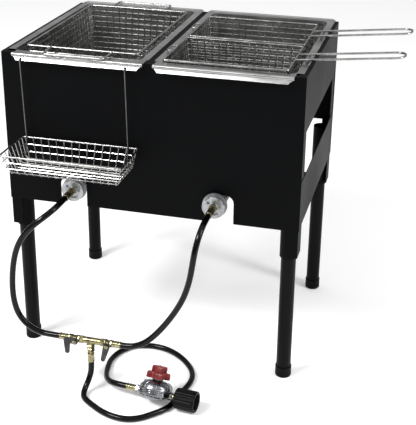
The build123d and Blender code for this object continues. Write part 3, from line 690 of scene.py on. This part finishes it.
def add_orifice(side):
    """The brass orifice, its hose barb's hexagon and the crimped sleeve, stepped towards the hose."""
    bm = bmesh.new()
    start = (BURNER_XS[side], HUB_FRONT, BURNER_Z)
    ahead = (0, -1, 0)
    add_turned(bm, start, ahead, hexagon(9.8, 0, 7), sides=6)
    add_turned(bm, start, ahead, [(6.8, 5.2), (7.2, 6.2), (8.0, 6.2), (8.4, 5.2), (9.6, 5.2)])
    add_turned(bm, start, ahead, hexagon(8.4, 9.2, 15.5, 0.6), sides=6)
    add_turned(bm, start, ahead, crimped(15.2, HUB_FRONT - FITTING_END, 8, 4))
    node = side + "_orifice_fitting"
    piece(node + "_steps", bm, "stand", "brass", (node,))


for burner_side in BURNER_XS:
    add_shutter(burner_side)
    add_orifice(burner_side)

# ---- manifold ----
TEE = Vector((-95.5, -150, 128))
SIDES = {
    "left": {"way": -1, "hexagon_end": 25, "valve_end": 50, "stem": 33},
    "right": {"way": 1, "hexagon_end": 34, "valve_end": 52, "stem": 43},
}
FERRULE_END = 73
VALVE_OUT = 12.0  # from the pipe's middle out to the lever


def add_manifold():
    bm = bmesh.new()
    for side in SIDES.values():
        way = side["way"]
        reach = side["hexagon_end"]
        pipe = [(0, 7.5), (reach - 9.4, 7.5), (reach - 9.0, 6.8)]
        add_turned(bm, TEE, (way, 0, 0), pipe)
        add_turned(bm, TEE, (way, 0, 0), hexagon(9.8, reach - 9, reach), sides=6, across=(0, 0, 1))
    down = (0, 0, -1)
    add_turned(bm, TEE, down, [(0, 7.2), (8.4, 7.2), (9, 6.6)])
    add_turned(bm, TEE, down, hexagon(9.8, 9, 17.5), sides=6, across=(1, 0, 0))
    add_turned(bm, TEE, down, [(17.2, 6.4), (18.6, 6.4)])
    add_turned(bm, TEE, down, hexagon(9.2, 18.4, 27), sides=6, across=(1, 0, 0))
    add_turned(bm, TEE, down, [(26.8, 6.2), (28.4, 6.2), (29, 5.6), (32, 5.6)])
    piece("manifold_tee_casting", bm, "stand", "brass", ("manifold_tee",))


def add_valve(side):
    way = SIDES[side]["way"]
    inner = SIDES[side]["hexagon_end"]
    outer = SIDES[side]["valve_end"]
    long = outer - inner
    end, full, waist = 7.6, 8.6, 7.4
    bm = bmesh.new()
    body = [
        (inner, end),
        (inner + 0.8, full),
        (inner + 0.3 * long, full),
        (inner + 0.38 * long, waist),
        (inner + 0.62 * long, waist),
        (inner + 0.7 * long, full),
        (outer - 0.8, full),
        (outer, end),
    ]
    eighth = math.pi / 8
    add_turned(bm, TEE, (way, 0, 0), body, sides=8, across=(0, math.cos(eighth), math.sin(eighth)))
    start = TEE + Vector((way * SIDES[side]["stem"], 0, 0))
    ahead = (0, -1, 0)
    add_turned(bm, start, ahead, [(4, 6.6), (8.2, 6.6), (9, 5.9), (9.2, 5.4), (VALVE_OUT, 5.4)])
    add_turned(bm, start, ahead, [(VALVE_OUT - 0.2, 2.9), (VALVE_OUT + 3.2, 2.9)])
    add_turned(bm, start, ahead, hexagon(5.5, VALVE_OUT + 3.4, VALVE_OUT + 6.2, 0.6), sides=6)
    add_turned(bm, start, ahead, [(VALVE_OUT + 6, 2.5), (VALVE_OUT + 6.4, 2.5), (VALVE_OUT + 6.8, 2.0)])
    piece(side + "_valve_casting", bm, "stand", "valve_nickel", (side + "_valve_body",))


def lever_hub(side):
    """Where a lever's underside meets its valve's stem."""
    return TEE + Vector((SIDES[side]["way"] * SIDES[side]["stem"], -VALVE_OUT, 0))


def add_levers():
    """Cast levers, a bent one and a tilted straight one: a raised hub and two ribs on the blade."""
    hub_left = lever_hub("left")
    hub_right = lever_hub("right")
    hub_radius, tip_radius, blade, bore_radius = 8, 5, 37, 3.06
    tilt = math.radians(15)

    def left_place(u, v, w):
        return hub_left.x + u, hub_left.y - w, hub_left.z + v

    def right_place(u, v, w):
        return (
            hub_right.x + u * math.cos(tilt) + v * math.sin(tilt),
            hub_right.y - w,
            hub_right.z - u * math.sin(tilt) + v * math.cos(tilt),
        )

    bore = circle(0, 0, bore_radius, 24)
    left_outline = (
        arc(0, 0, hub_radius, -100, 90, 14)
        + arc(-19, 1, 7, 90, 180, 6)
        + arc(-18.5, -28, 5.5, 190, 350, 10)
        + arc(-8.5, -8.8, 2.5, 180, 95, 4)
    )
    lean = math.degrees(math.asin((hub_radius - tip_radius) / blade))
    right_outline = arc(0, 0, hub_radius, -lean, 180 + lean, 20)
    right_outline += arc(0, -blade, tip_radius, 180 + lean, 360 - lean, 12)
    levers = (
        ("left", left_place, left_outline, ((-21.4, -15), (-15.6, -15))),
        ("right", right_place, right_outline, ((-2.6, -22), (2.6, -22))),
    )
    rib_across, rib_half = 0.9, 13
    for side, place, outline, ribs in levers:
        bm = bmesh.new()
        add_plate(bm, place, outline, 0.3, 2.7, [bore], 0.4)
        add_plate(bm, place, circle(0, 0, 7.2, 32), 2.5, 3.1, [bore], 0.2)
        for u, v in ribs:
            rib = rounded_box(u - rib_across, v - rib_half, u + rib_across, v + rib_half, 0.8)
            add_plate(bm, place, rib, 2.5, 3.3)
        node = side + "_valve_lever"
        piece(node + "_casting", bm, node, "lever_grey", (node,))


def add_ferrules():
    bm = bmesh.new()
    for side in SIDES.values():
        add_turned(bm, TEE, (side["way"], 0, 0), crimped(side["valve_end"], FERRULE_END, 8, 3))
    add_turned(bm, TEE, (0, 0, -1), crimped(32, 54, 8, 3))
    add_turned(bm, REGULATOR, -INLET_WAY, crimped(46, 70, 8, 3))
    piece("crimped_ferrules", bm, "stand", "ferrule_steel", ("hose_ferrules",))


# ---- regulator ----
REGULATOR = Vector((60, -163, 26))
YAW_OUT = math.radians(6)
LEAN_BACK = math.radians(30)
INLET_WAY = Vector((math.cos(YAW_OUT), -math.sin(YAW_OUT), 0))
KNOB_WAY = Vector(
    (
        math.sin(LEAN_BACK) * math.sin(YAW_OUT),
        math.sin(LEAN_BACK) * math.cos(YAW_OUT),
        math.cos(LEAN_BACK),
    )
)
LOBES = 8
SCREWS_AT = 35.2  # from the knob's axis
TURNED_BY = 20  # degrees the knob and the bosses stand turned from the inlet


def lobed(turn):
    """A flange drawn in between its screw lobes."""
    return 0.955 + 0.045 * math.cos(LOBES * turn)


def reg_place(u, v, w):
    """Across the knob's axis: u along the inlet, v beside it, w up the knob."""
    return tuple(REGULATOR + u * INLET_WAY + v * KNOB_WAY.cross(INLET_WAY) + w * KNOB_WAY)


def add_regulator():
    bm = bmesh.new()
    body = [
        (-14, 16), (-13.4, 18), (-10, 25), (-8, 28), (-4.6, 29.5), (-4, 31), (-4, 38), (-3, 39.4),
        (-2.2, 40), (2.6, 40), (3.6, 39.4), (3.9, 38),
    ]
    flange_from = 6  # the flange's pairs in body
    add_turned(
        bm, REGULATOR, KNOB_WAY, body, 96,
        lambda turn, i: lobed(turn) if i >= flange_from else 1, INLET_WAY,
    )
    add_turned(bm, REGULATOR, -INLET_WAY, [(20, 9.4), (38, 9.4), (39.4, 8)], 32)
    add_turned(bm, REGULATOR, -INLET_WAY, hexagon(9.2, 39, 46), sides=6)
    add_turned(bm, REGULATOR, INLET_WAY, [(20, 9), (40.6, 9), (42, 8.2)], 32)
    for k in range(LOBES):
        turn = 2 * math.pi * k / LOBES
        seat = Vector(reg_place(SCREWS_AT * math.cos(turn), SCREWS_AT * math.sin(turn), -4))
        add_turned(bm, seat, -KNOB_WAY, [(-0.5, 2.9), (1.6, 2.9), (2.6, 2.3), (3.2, 1.4)], 20)
    for turn in range(15, 360, 30):
        ahead = math.radians(turn)
        foot = reg_place(22 * math.cos(ahead), 22 * math.sin(ahead), -11.6)
        rib = reg_place(36 * math.cos(ahead), 36 * math.sin(ahead), -4.2)
        add_wire(bm, [Vector(foot), Vector(rib)], 1.2, sides=8)
    piece("regulator_casting", bm, "stand", "diecast_zinc", ("regulator_body",))

    bm = bmesh.new()
    dome = [
        (4.1, 38.6), (4.8, 40), (7.8, 40), (8.8, 39.2), (9.4, 37.6), (10.4, 36.8), (14, 36.4),
        (17, 35.4), (20.4, 33), (23.4, 29.4), (25.6, 24.6), (27, 19.6), (27.4, 18.2), (26.8, 17),
        (26.8, 13.2), (28, 12), (28.8, 11),
    ]
    flange_to = 3  # the flange's last pair in dome
    add_turned(
        bm, REGULATOR, KNOB_WAY, dome, 96,
        lambda turn, i: lobed(turn) if i <= flange_to else 1, INLET_WAY,
    )
    for turn in range(TURNED_BY, TURNED_BY + 360, 45):
        ahead = math.radians(turn)
        line = [
            Vector(reg_place(reach * math.cos(ahead), reach * math.sin(ahead), height))
            for reach, height in ((36.2, 12), (35.3, 16.8), (32.8, 20.3), (29.2, 23.3), (24.4, 25.5))
        ]
        add_wire(bm, line, 1.1, sides=8)
    for turn in range(TURNED_BY, TURNED_BY + 360, 90):
        ahead = math.radians(turn)
        post = Vector(reg_place(9.6 * math.cos(ahead), 9.6 * math.sin(ahead), 27))
        add_turned(bm, post, KNOB_WAY, [(0, 2.9), (3.2, 2.7), (4, 2.3)], 20)
    add_turned(bm, REGULATOR, KNOB_WAY, [(28, 4), (43.2, 4), (44, 3.4)], 24)
    piece("regulator_dome", bm, "stand", "diecast_zinc", ("regulator_bonnet",))


def cross_form(turn):
    """Four blunt arms with grip ribs."""
    arms = max(0.0, min(1.0, 0.5 + 1.4 * math.cos(4 * (turn - math.radians(TURNED_BY)))))
    arms = arms * arms * (3 - 2 * arms)
    return (0.66 + 0.34 * arms) * (1 + 0.022 * math.cos(40 * turn))


def add_knob():
    bm = bmesh.new()
    lower = [
        (32, 4.06), (32, 24.6), (32.5, 25.6), (33.6, 26.5), (44.4, 25.8), (45.4, 25), (46, 23.8),
        (46, 4.06),
    ]
    add_turned(
        bm, REGULATOR, KNOB_WAY, lower, 240,
        lambda turn, i: cross_form(turn) if 0 < i < 7 else 1, INLET_WAY, hollow=True,
    )
    upper = [(45.6, 16.8), (46.4, 17.5), (58.4, 16.9), (59.5, 16.2), (60, 15.2)]
    add_turned(bm, REGULATOR, KNOB_WAY, upper, 240, lambda turn, i: cross_form(turn), INLET_WAY)
    for turn in range(TURNED_BY, TURNED_BY + 360, 90):
        ahead = math.radians(turn)
        for reach, low, high in ((9, 59.6, 60.8), (21, 45.6, 46.8)):
            seat = Vector(reg_place(reach * math.cos(ahead), reach * math.sin(ahead), low))
            add_turned(bm, seat, KNOB_WAY, [(0, 2.4), (high - low - 0.4, 2.4), (high - low, 1.9)], 16)
    piece("regulator_knob_grip", bm, "regulator_knob", "knob_red", ("regulator_knob",))


def add_tank_nut():
    """The hollow hand nut with its grip flutes, and the brass nipple's tip in its mouth."""
    bm = bmesh.new()
    flutes = 18
    flute_deep = 0.055
    first_fluted, last_fluted = 2, 6  # pairs in outer
    outer = [
        (50, 20.5), (50.8, 22), (53, 23), (56, 23.2), (60, 23.3), (84, 23.8), (93, 24), (96.5, 24),
        (98.4, 23.4), (99, 22.4),
    ]
    inner = [(99, 18.6), (98.2, 18), (66.5, 18), (66, 17.4), (66, 7.06), (50, 7.06)]

    def fluted(turn, i):
        if not first_fluted <= i <= last_fluted:
            return 1
        wave = 0.5 - 0.5 * math.cos(flutes * turn)
        return 1 - flute_deep * wave**2

    add_turned(bm, REGULATOR, INLET_WAY, outer + inner, 216, fluted, hollow=True)
    piece("tank_nut_grip", bm, "tank_nut", "nut_plastic", ("tank_nut",))

    bm = bmesh.new()
    tip = [
        (42, 7), (77, 7), (77, 8.4), (77.6, 9), (84.4, 9), (85, 8.4), (85, 6.6), (86.4, 6.6), (89.6, 5.2),
        (91, 3.4), (91, 1.8), (80, 1.8),
    ]
    add_turned(bm, REGULATOR, INLET_WAY, tip, 36)
    piece("inlet_nipple_tip", bm, "stand", "brass", ("inlet_nipple",))


add_manifold()
for valve_side in SIDES:
    add_valve(valve_side)
add_levers()
add_ferrules()
add_regulator()
add_knob()
add_tank_nut()


# ---- foot caps ----
def add_feet():
    """Moulded caps with a rounded foot and a thicker lip."""
    bored = 17.2
    outer = [
        (0, 15.6), (0.5, 17.0), (1.6, 18.3), (3.4, 18.9), (5, 19), (22.8, 18.6), (23.4, 19), (26.2, 19),
        (27, 18.4),
    ]
    inner = [(27, bored), (5, bored)]
    for depth, y in (("front", 24), ("back", 458)):
        for side, x in (("left", -316), ("right", 316)):
            corner = depth + "_" + side
            bm = bmesh.new()
            add_turned(bm, (x, y, 0), (0, 0, 1), outer + inner, 48, across=(1, 0, 0))
            piece(corner + "_foot_cap", bm, "stand", "foot_rubber", (corner + "_foot",))


add_feet()


# ---- light and floor ----
FLOOR_RADIUS = 12  # metres


def add_floor():
    """A plain pale disc, with a little light of its own to keep the shadows soft."""
    bm = bmesh.new()
    bmesh.ops.create_circle(bm, cap_ends=True, segments=96, radius=FLOOR_RADIUS)
    mesh = bpy.data.meshes.new("floor")
    bm.to_mesh(mesh)
    bm.free()
    material = bpy.data.materials.new("floor_white")
    material.use_nodes = True
    tree = material.node_tree
    shader = tree.nodes["Principled BSDF"]
    where = tree.nodes.new("ShaderNodeTexCoord").outputs["Object"]
    tone = mixed(tree, noise(tree, where, 1.5), (0.96, 0.96, 0.96), (0.98, 0.98, 0.98))
    link(tree, tone, shader.inputs["Base Color"])
    shader.inputs["Roughness"].default_value = 0.9
    shader.inputs["Specular IOR Level"].default_value = 0.1
    shader.inputs["Emission Color"].default_value = (1, 1, 1, 1)
    shader.inputs["Emission Strength"].default_value = 0.12
    mesh.materials.append(material)
    floor = bpy.data.objects.new("floor", mesh)
    bpy.context.scene.collection.objects.link(floor)


FRYER_MIDDLE = (0, 0, 0.4)


def add_softbox(name, place, size, power):
    """A rectangular area light that faces the fryer; metres and watts."""
    data = bpy.data.lights.new(name, "AREA")
    data.shape = "RECTANGLE"
    data.size, data.size_y = size
    data.energy = power
    light = bpy.data.objects.new(name, data)
    light.location = place
    light.rotation_euler = (Vector(FRYER_MIDDLE) - Vector(place)).to_track_quat("-Z", "Y").to_euler()
    bpy.context.scene.collection.objects.link(light)


def add_world():
    """Bright overhead and dim round the horizon, so that polished metal keeps its contrast."""
    world = bpy.data.worlds.new("studio")
    bpy.context.scene.world = world
    world.use_nodes = True
    tree = world.node_tree
    sky = tree.nodes["Background"]
    where = tree.nodes.new("ShaderNodeTexCoord").outputs["Generated"]
    split = tree.nodes.new("ShaderNodeSeparateXYZ")
    link(tree, where, split.inputs["Vector"])
    level = spread(tree, split.outputs["Z"], 0.05, 0.75, 0.0, 1.0)
    link(tree, mixed(tree, level, (0.22, 0.22, 0.23), (1.0, 1.0, 1.0)), sky.inputs["Color"])
    sky.inputs["Strength"].default_value = 0.85


add_floor()
add_world()
add_softbox("key", (-1.6, -1.8, 2.6), (1.3, 0.5), 95)
add_softbox("fill", (2.4, -0.6, 1.9), (0.5, 1.6), 40)
bpy.context.scene.view_settings.view_transform = "Standard"
